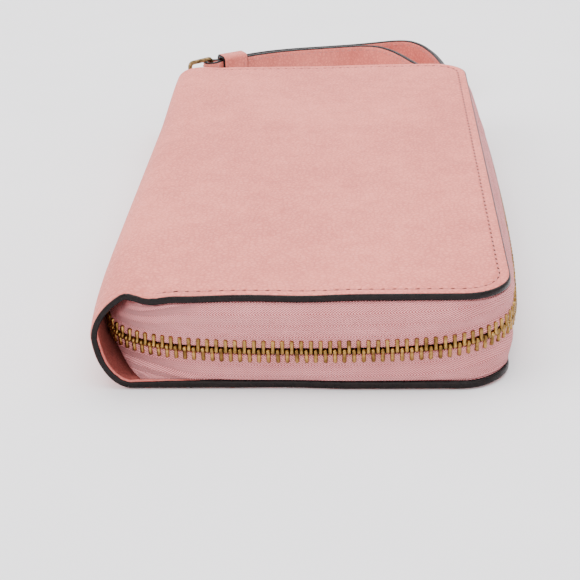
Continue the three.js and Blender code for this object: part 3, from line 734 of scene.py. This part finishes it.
def zip_track():
    """Rows along the zip: x, y, z, outward x and y, the seam's x and y, and the way inward from it."""
    p = np.array(TRACK_POINTS, float)
    smooth = []
    for i in range(len(p) - 1):
        a, b = p[max(i - 1, 0)], p[i]
        c, d = p[i + 1], p[min(i + 2, len(p) - 1)]
        square, cube = 2 * a - 5 * b + 4 * c - d, 3 * b - a - 3 * c + d
        for t in np.linspace(0, 1, 24, endpoint=False):
            smooth.append(0.5 * (2 * b + (c - a) * t + square * t**2 + cube * t**3))
    smooth = np.array([*smooth, p[-1]])
    ahead = np.gradient(smooth[:, :2], axis=0)
    ahead /= np.linalg.norm(ahead, axis=1)[:, None]
    curl_end = int(np.argmax(smooth[:, 0] > CURL_FROM))
    gone = distances_along(smooth[:, :2])
    rows = []
    for k, ((x, y, z), (tx, ty)) in enumerate(zip(smooth, ahead)):
        sx, sy, ix, iy = closest_seam(x, y)
        if k < curl_end:
            share = 1 - gone[k] / gone[curl_end]
            sx = CURL_FROM + (CURL_SEAM - CURL_FROM) * share**1.15
        rows.append((x, y, z, ty, -tx, sx, sy, ix, iy))
    return np.array(rows), gone


TRACK, TRACK_AT = zip_track()


def on_track(s):
    """The track's row at s millimetres along it."""
    return sample(s, TRACK_AT, TRACK)


def lining_height(x, y, side):
    """Height of the lining's inner face near the covers' edge: side -1 is the lower cover, 1 the upper."""
    u = MOUTH_X - x if side < 0 else GIRTH - MOUTH_X + x
    points, _, _ = skin(np.array([u]), np.array([y]), float(edge_thickness(u)))
    return points[0, 2]


def tape_line(row, side):
    """The middle of one side's tape, from teeth to sewn edge, and the direction of its thickness."""
    x, y, z, ox, oy, sx, sy, ix, iy = row
    sy += float(stagger(MOUTH_X - sx, sy, sx)) if side < 0 else 0.0
    away = (sx - x) * ox + (sy - y) * oy
    straight = 1 - smoothstep(x, CURL_FROM - 14, CURL_FROM)
    drift = -(sx - x) * oy + (sy - y) * ox
    roof = lining_height(sx, sy, side) - side * (TAPE_THICK / 2 + 0.06)
    first = z + side * TAPE_STANDS
    rise = roof - first
    line = [(0.0, z + side * r, 0.0) for r in (0.95, 1.4, 2.0, 2.7)]
    full = 0.5 * (1 - smoothstep(abs(away), 1.5, 3.2))
    # From there to the seam the height follows a cubic curve, and the tape bellies out.
    for t in np.linspace(0, 1, 11):
        a, b, c = (1 - t) ** 3, 3 * t * (1 - t) ** 2, 3 * t * t * (1 - t)
        share = (1 - straight) * (0.3 * c + t**3) + straight * t
        out = away * share + full * math.sin(math.pi * t) ** 2
        height = a * first + b * (first + 0.38 * rise) + c * (first + 0.84 * rise) + t**3 * roof
        line.append((out, height, share))
    flat = [np.array([x + ox * out - oy * drift * f, y + oy * out + ox * drift * f, h]) for out, h, f in line]
    ahead = np.gradient(np.array([(out, h) for out, h, _ in line]), axis=0)
    ahead /= np.linalg.norm(ahead, axis=1)[:, None] + 1e-9
    normals = [np.array([ox * n1, oy * n1, -n0]) * side for n0, n1 in ahead]
    sewn = flat[-1]
    level = np.array([0, 0, math.copysign(1, normals[-1][2])])
    for reach in (0.8, 2.2, 4.0):
        flat.append(sewn + np.array([ix, iy, 0]) * reach)
        normals.append(level)
    return np.array(flat), np.array(normals)


def tape_ring(row, side, s):
    """One cross-section of the tape as points and its uv, with a corded edge inside the teeth."""
    line, normals = tape_line(row, side)
    half = np.full(len(line), TAPE_THICK / 2)
    half[:3] = (0.42, 0.55, 0.4)
    gone = distances_along(line)
    ripple = 0.26 * smoothstep(gone, 2.5, 5)
    ripple[-5:] = 0
    push = np.array([r * wobble(s, g, 20 * side, 7.5, 3.3) for r, g in zip(ripple, gone)])
    outer = line + normals * (half + push)[:, None]
    inner = line - normals * (half - push)[:, None]
    uv = np.stack([np.full(len(gone), s), gone], -1)
    return np.vstack([outer, inner[::-1]]), np.vstack([uv, uv[::-1]])


def build_tape(name, side):
    marks = np.arange(0, TRACK_AT[-1] + 0.5, 1.3)
    rings, maps = zip(*[tape_ring(on_track(min(s, TRACK_AT[-1])), side, s) for s in marks])
    points, faces, uv = loft(rings, ring_uv=maps)
    piece = mesh_object(f"zip_tape_{name}_twill", points, outward(points, faces), [TAPE], uv=uv)
    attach(piece, f"{name}_case")
    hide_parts(f"zip_tape_{name}")


def tooth_shape(grow=1.0):
    """One tooth: x along the zip, y out of the wallet, z from the zip's middle to the tape."""
    # Height, half the width along the zip and half the depth, from the head to the foot on the tape.
    stations = [
        (-0.66, 0.24, 0.62), (-0.58, 0.42, 0.92), (-0.3, 0.53, 1.2), (0.1, 0.555, 1.27), (0.45, 0.54, 1.15),
        (0.75, 0.49, 0.96), (1.0, 0.54, 1.02), (2.62, 0.53, 1.02), (2.84, 0.46, 0.94), (2.95, 0.3, 0.7),
    ]
    corners = [(1, 0.55), (0.55, 1), (-0.55, 1), (-1, 0.55)]
    corners += [(-i, -j) for i, j in corners]
    rings = [[(grow * along * i, grow * out * j, grow * z) for i, j in corners] for z, along, out in stations]
    points, faces, _ = loft(rings)
    return points, outward(points, faces)


def build_teeth(name, side):
    """One row of teeth along the track, up to where the parked slider begins."""
    shape = tooth_shape()
    last = TRACK_AT[-1] - (box("slider_body")[1].x - TAPE_END_X) - 1.2
    teeth = []
    for s in np.arange(0.8 + (0 if side < 0 else TOOTH_PITCH / 2), last, TOOTH_PITCH):
        row = on_track(s)
        ox, oy = row[3:5] / np.hypot(*row[3:5])
        along = (-oy, ox, dice.uniform(-0.03, 0.03))
        teeth.append(lay(shape, row[:3], along, (0, 0, side)))
    points, faces = merge(teeth)
    piece = mesh_object(f"zip_teeth_{name}_row", points, faces, [BRASS])
    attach(piece, f"{name}_case")
    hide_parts(f"zip_teeth_{name}")


def dress(node, material, bevel_mm=0.0, segments=2):
    """A CAD node keeps its shape, and gets a material and softened edges."""
    obj = frame["nodes"][node]
    obj.data.materials.clear()
    obj.data.materials.append(material)
    if bevel_mm:
        bevel = obj.modifiers.new("soft_edges", "BEVEL")
        bevel.width = bevel_mm * MM
        bevel.segments = segments
        bevel.limit_method = "ANGLE"
        bevel.angle_limit = math.radians(35)


def build_main_zip():
    for name, side in (("lower", -1), ("upper", 1)):
        build_tape(name, side)
        build_teeth(name, side)
        dress(f"zip_top_stop_{name}", BRASS, 0.3)
    dress("zip_bottom_stop", BRASS, 0.3)
    for node in ("slider_body", "slider_bridge", "pull_plate"):
        dress(node, POLISHED, 0.22, 3)


# ---- the strap ----

STRAP_WIDTH = 12.5
STRAP_THICK = 1.8
STRAP_LAYER = STRAP_THICK / 2 + 0.1  # from the middle of the two layers to one of them
BAR = 1.6  # the bail's wire
BAR_WRAP = BAR * math.sqrt(0.5) + 0.17 + STRAP_THICK / 2  # from the wire's middle to the strap's
KEEPER_START = BAR_WRAP + 1.9
KEEPER_END = KEEPER_START + 10
STRAP_ANGLE = math.radians(31)
STRAP_DOWN = 88.0  # the strap has come down to the table this far along
# The strap's middle line, seen from above: away from the bail's wire, and to the left of that.
STRAP_LINE = [
    (-BAR_WRAP, 0), (-0.7 * BAR_WRAP, 0.77 * BAR_WRAP), (0.3 * BAR_WRAP, 0.95 * BAR_WRAP),
    (KEEPER_START - 1.1, STRAP_LAYER + 0.12), (KEEPER_START, STRAP_LAYER), (KEEPER_START + 5, STRAP_LAYER),
    (KEEPER_END, STRAP_LAYER), (25, 1.65), (46, 3.1), (62, 4.4), (76, 4.9), (85, 4), (90, 0.5), (91.3, -6),
    (89.5, -17), (86, -28), (82, -37), (77.5, -41), (73.8, -37.5), (74.2, -28), (75.6, -18), (76, -8),
    (74, -1), (69, 2), (62, 2.35), (46, 1.05), (25, -0.4), (KEEPER_END, -STRAP_LAYER),
    (KEEPER_START + 5, -STRAP_LAYER), (KEEPER_START, -STRAP_LAYER), (KEEPER_START - 1.1, -STRAP_LAYER - 0.12),
    (0.3 * BAR_WRAP, -0.95 * BAR_WRAP), (-0.7 * BAR_WRAP, -0.77 * BAR_WRAP),
]


def between(a, b, t, start, stop):
    """The point at t on a line that is at a when t is start, and at b when t is stop."""
    return (stop - t) / (stop - start) * a + (t - start) / (stop - start) * b


def closed_curve(points, per_span):
    """A smooth closed curve through points (centripetal Catmull-Rom)."""
    p = np.asarray(points, float)
    n = len(p)
    out = []
    for i in range(n):
        a, b, c, d = p[(i - 1) % n], p[i], p[(i + 1) % n], p[(i + 2) % n]
        t0, t1 = 0.0, math.sqrt(np.linalg.norm(b - a))
        t2 = t1 + math.sqrt(np.linalg.norm(c - b))
        t3 = t2 + math.sqrt(np.linalg.norm(d - c))
        for t in np.linspace(t1, t2, per_span, endpoint=False):
            ab, bc, cd = between(a, b, t, t0, t1), between(b, c, t, t1, t2), between(c, d, t, t2, t3)
            abc, bcd = between(ab, bc, t, t0, t2), between(bc, cd, t, t1, t3)
            out.append(between(abc, bcd, t, t1, t2))
    return np.array(out)


def even(path, step):
    """A closed path's points, evenly spaced."""
    loop = np.vstack([path, path[:1]])
    at = distances_along(loop)
    return sample(np.linspace(0, at[-1], int(at[-1] / step), endpoint=False), at, loop)


def strap_frames():
    """Centre, up and across of the strap at each station, in the wallet's frame."""
    line = even(closed_curve(STRAP_LINE, 12), 1.0)
    ahead = np.roll(line, -1, axis=0) - np.roll(line, 1, axis=0)
    origin = pivot("strap_swing")
    turn = Matrix.Rotation(STRAP_ANGLE, 3, "Z")
    hang = origin.z - STRAP_WIDTH / 2
    frames = []
    for (x, y), (dx, dy) in zip(line, ahead):
        along = Vector((dx, dy, 0)).normalized()
        up = Vector((0, 0, 1))
        across = up.cross(along).normalized()
        lift = hang * (1 - float(smoothstep(x, KEEPER_END, STRAP_DOWN)))
        centre = Vector((x, y, STRAP_WIDTH / 2 + lift - origin.z))
        frames.append((turn @ centre + origin, turn @ up, turn @ across))
    return frames


def build_strap():
    frames = strap_frames()
    w, t = STRAP_WIDTH / 2, STRAP_THICK / 2
    profile = [(-w + 0.35, -t), (-w * 0.8, -t), (0, -t * 0.98), (w * 0.8, -t), (w - 0.35, -t), (w, -t + 0.45)]
    profile += [(w, t - 0.45), (w - 0.35, t), (w * 0.8, t), (0, t * 0.98), (-w * 0.8, t), (-w + 0.35, t)]
    profile += [(-w, t - 0.45), (-w, -t + 0.45)]
    painted = {4, 5, 6, 11, 12, 13}  # the spans of the profile that are edge paint
    rings = [[c + up * a + across * b for a, b in profile] for c, up, across in frames]
    points, faces, _ = loft(rings, closed=True)
    faces = outward(points, faces)
    indices = [1 if k % len(profile) in painted else 0 for k in range(len(faces))]
    strap = mesh_object("strap_loop_leather", points, faces, [PINK, PAINT], indices)
    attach(strap, "wrist_strap")
    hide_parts("strap_loop")
    seams = []
    for face in (-1, 1):
        for edge in (-1, 1):
            path = [c + up * (edge * (w - 1.7)) + across * (face * (t - 0.02)) for c, up, across in frames]
            normals = [across * face for _, _, across in frames]
            seams.append(([*path, path[0]], [*normals, normals[0]]))
    sew("strap_stitching", seams, "wrist_strap", stitch_shadows=False)


def build_keeper():
    """A leather sleeve round the strap's two layers, with painted ends and stitches by each end."""
    origin = pivot("strap_swing")
    turn = Matrix.Rotation(STRAP_ANGLE, 3, "Z")
    inner_y = STRAP_LAYER + STRAP_THICK / 2 + 0.15
    inner_z = STRAP_WIDTH / 2 + 0.3
    wall = 1.3

    def placed(x, y, z):
        """A point along the strap, across its layers and up it, in the wallet's frame."""
        return turn @ Vector((x, y, z)) + origin

    def rounded(half_y, half_z, radius):
        ring = []
        for k, (sy, sz) in enumerate(((1, 1), (-1, 1), (-1, -1), (1, -1))):
            for a in np.linspace(0, math.pi / 2, 4):
                angle = a + k * math.pi / 2
                cy, cz = sy * (half_y - radius), sz * (half_z - radius)
                ring.append((cy + radius * math.cos(angle), cz + radius * math.sin(angle)))
        return ring

    outer, inner = rounded(inner_y + wall, inner_z + wall, 1.6), rounded(inner_y, inner_z, 0.5)
    stations = [(KEEPER_START, 0.3), (KEEPER_START + 0.25, 0.0), (KEEPER_END - 0.25, 0.0), (KEEPER_END, 0.3)]
    rings = []
    for x, pinch in stations:
        rings.append([placed(x, y * (1 - pinch / 6), z * (1 - pinch / 9)) for y, z in outer])
    for x, _ in reversed(stations):
        rings.append([placed(x, y, z) for y, z in inner])
    points, faces, _ = loft(rings, closed=True)
    faces = outward(points, faces)
    painted = {0, 2, 3, 7}  # the bands of faces at the two ends
    indices = [1 if k // len(outer) in painted else 0 for k in range(len(faces))]
    keeper = mesh_object("strap_keeper_leather", points, faces, [PINK, PAINT], indices)
    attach(keeper, "wrist_strap")
    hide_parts("strap_keeper")
    seams = []
    for x in (KEEPER_START + 1.5, KEEPER_END - 1.5):
        for face in (-1, 1):
            y = face * (inner_y + wall)
            normal = turn @ Vector((0, face, 0))
            seams.append(([placed(x, y, 0.6 - inner_z), placed(x, y, inner_z - 0.6)], [normal, normal]))
    sew("keeper_stitching", seams, "wrist_strap", stitch_shadows=False, pitch=2.2)


def build_bail():
    """A rectangular ring of round brass wire that links the pull to the strap."""
    start, end = pivot("bail_swing"), pivot("strap_swing")
    reach = (end - start).length
    along = (end - start).normalized()
    radius, corner = BAR / 2 + 0.02, 1.4
    half = STRAP_WIDTH / 2 + 0.3 + BAR / 2
    path = []
    for k, (cx, cz) in enumerate(((reach, half), (0, half), (0, -half), (reach, -half))):
        inward = Vector((corner if cx == 0 else -corner, corner if cz < 0 else -corner))
        centre = Vector((cx, cz)) + inward
        for a in np.linspace(0, math.pi / 2, 6):
            angle = a + k * math.pi / 2
            path.append((centre.x + corner * math.cos(angle), centre.y + corner * math.sin(angle)))
    path = even(np.array(path), 0.7)
    ahead = np.roll(path, -1, axis=0) - np.roll(path, 1, axis=0)
    side = along.cross(Vector((0, 0, 1)))
    angles = np.arange(10) * math.pi / 5
    rings = []
    for (x, z), (dx, dz) in zip(path, ahead):
        size = math.hypot(dx, dz)
        out = along * (dz / size) + Vector((0, 0, -dx / size))
        centre = start + along * x + Vector((0, 0, z))
        rings.append([centre + out * (radius * math.cos(a)) + side * (radius * math.sin(a)) for a in angles])
    points, faces, _ = loft(rings, closed=True)
    bail = mesh_object("strap_bail_wire", points, outward(points, faces), [AGED])
    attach(bail, "bail")
    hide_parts("strap_bail")


# ---- inside: cards, gussets and the coin pocket ----


def build_gussets():
    """Soft bellows at both ends, from the lower cover by the coin pocket's end to the upper cover."""
    low, high = box("gusset_far_lower")
    top = box("gusset_far_upper")[1].z
    inner, outer = low.y + 0.35, high.y - 0.25
    folds = 10
    upright = 2.2  # before the first fold and after the last
    half_thick = 0.22
    line = [(outer, low.z)]
    for t in np.linspace(0, folds, folds * 8 + 1):
        swing = 0.5 + 0.5 * math.cos(math.pi * t)
        z = low.z + upright + (top - low.z - 2 * upright) * t / folds
        line.append((inner + (outer - inner) * swing, z))
    line.append((outer, top))
    line = np.array(line)
    ahead = np.gradient(line, axis=0)
    ahead /= np.linalg.norm(ahead, axis=1)[:, None]
    across = np.stack([ahead[:, 1], -ahead[:, 0]], -1) * half_thick
    loop = np.vstack([line + across, (line - across)[::-1]])
    gone = distances_along(line)
    gone = np.concatenate([gone, gone[::-1]])
    for name, way in (("near", -1), ("far", 1)):
        xs = np.linspace(low.x, high.x, 30)
        rings = [[(x, way * y, z) for y, z in loop] for x in xs]
        maps = [[(x, g) for g in gone] for x in xs]
        points, faces, uv = loft(rings, ring_uv=maps)
        piece = mesh_object(f"gusset_{name}", points, outward(points, faces), [GUSSET], uv=uv)
        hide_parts(f"gusset_{name}_lower", f"gusset_{name}_upper")
        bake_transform(piece)


def build_coin_teeth(name, side):
    """A row of small teeth on the coin pocket's zip."""
    low, high = box(f"coin_teeth_{name}")
    pitch = 1.75
    middle = Vector(((low.x + high.x) / 2, 0, HALF))
    shape = tooth_shape(0.62)
    teeth = []
    for y in np.arange(low.y + 0.6 + (0 if side < 0 else pitch / 2), high.y - 1.4, pitch):
        teeth.append(lay(shape, (middle.x, y, middle.z), (0, 1, 0), (0, 0, side)))
    points, faces = merge(teeth)
    piece = mesh_object(f"coin_teeth_{name}_row", points, faces, [BRASS])
    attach(piece, "coin_leaf")
    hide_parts(f"coin_teeth_{name}")


def build_inside():
    for name in ("lower", "upper"):
        dress(f"card_base_{name}", LINING, 0.12)
        for row in (1, 2, 3):
            dress(f"card_row_{name}_{row}", LINING, 0.15)
        dress(f"coin_sheet_{name}", LINING, 0.2)
        dress(f"coin_tape_{name}", GUSSET)
    for node in ("coin_fold", "coin_end_near", "coin_end_far"):
        dress(node, LINING, 0.15)
    for node in ("coin_stop_near", "coin_stop_far", "coin_slider_body", "coin_slider_bridge", "coin_pull"):
        dress(node, POLISHED, 0.18)
    build_gussets()
    build_coin_teeth("lower", -1)
    build_coin_teeth("upper", 1)


# ---- camera, floor and light ----


def set_camera():
    """The photograph's viewpoint, from a fit of the wallet's outline."""
    yaw, pitch, roll = -0.0608, 0.4375, -0.0329
    forward = Vector((math.sin(yaw) * math.cos(pitch), math.cos(yaw) * math.cos(pitch), -math.sin(pitch)))
    level = Vector((math.cos(yaw), -math.sin(yaw), 0))
    above = level.cross(forward)
    right = level * math.cos(roll) + above * math.sin(roll)
    up = above * math.cos(roll) - level * math.sin(roll)
    camera = bpy.data.objects.new("camera", bpy.data.cameras.new("camera"))
    camera.data.lens = 89.0
    camera.data.sensor_width = 36.0
    camera.data.clip_start = 0.01
    turn = Matrix((right, up, -forward)).transposed().to_4x4()
    place = Vector((17.73, -408.9, 171.97)) * MM
    camera.matrix_world = Matrix.Translation(place) @ turn
    bpy.context.scene.collection.objects.link(camera)
    bpy.context.scene.camera = camera


def build_floor():
    """A pale sheet that runs back and curves up behind."""
    width, front, back, curve, rise = 4.0, -2.0, 1.1, 0.5, 1.6
    bend = np.linspace(0, math.pi / 2, 17)
    line = [(front, 0.0)]
    line += [(back + curve * math.sin(a), curve - curve * math.cos(a)) for a in bend]
    line.append((back + curve, rise))
    points = [(x / MM, y / MM, z / MM) for y, z in line for x in (-width / 2, width / 2)]
    faces = [(2 * i, 2 * i + 1, 2 * i + 3, 2 * i + 2) for i in range(len(line) - 1)]
    n = Nodes("pale_paper")
    tone = n.noise(60, 2.0, 0.5)
    colour = n.ramp(tone, [(0.3, srgb(233, 231, 232)), (0.7, srgb(236, 234, 235))])
    paper = n.surface(colour, 0.75, n.bump(n.noise(0.6, 3.0), 0.05, 0.2))
    floor = mesh_object("floor", points, faces, [paper])


def add_light(name, place, size, power):
    """A white rectangle of light that faces the wallet's middle."""
    data = bpy.data.lights.new(name, "AREA")
    data.shape = "RECTANGLE"
    data.size, data.size_y = size
    data.energy = power
    lamp = bpy.data.objects.new(name, data)
    lamp.location = place
    middle = Vector((0.0, 0.0, 0.01))
    lamp.rotation_euler = (middle - Vector(place)).to_track_quat("-Z", "Y").to_euler()
    bpy.context.scene.collection.objects.link(lamp)


def set_lights():
    add_light("overhead", (0.1, 0.3, 1.3), (1.8, 1.4), 35)
    add_light("left_window", (-1.2, -0.3, 0.9), (1.1, 1.0), 16)
    add_light("front_fill", (0.25, -1.5, 0.55), (1.6, 0.9), 12)
    world = bpy.data.worlds.new("soft_room")
    world.use_nodes = True
    world.node_tree.nodes["Background"].inputs["Color"].default_value = (0.95, 0.96, 1.0, 1)
    world.node_tree.nodes["Background"].inputs["Strength"].default_value = 1.2
    bpy.context.scene.world = world


set_camera()
build_covers()
build_main_zip()
build_strap()
build_keeper()
build_bail()
build_inside()
build_floor()
set_lights()
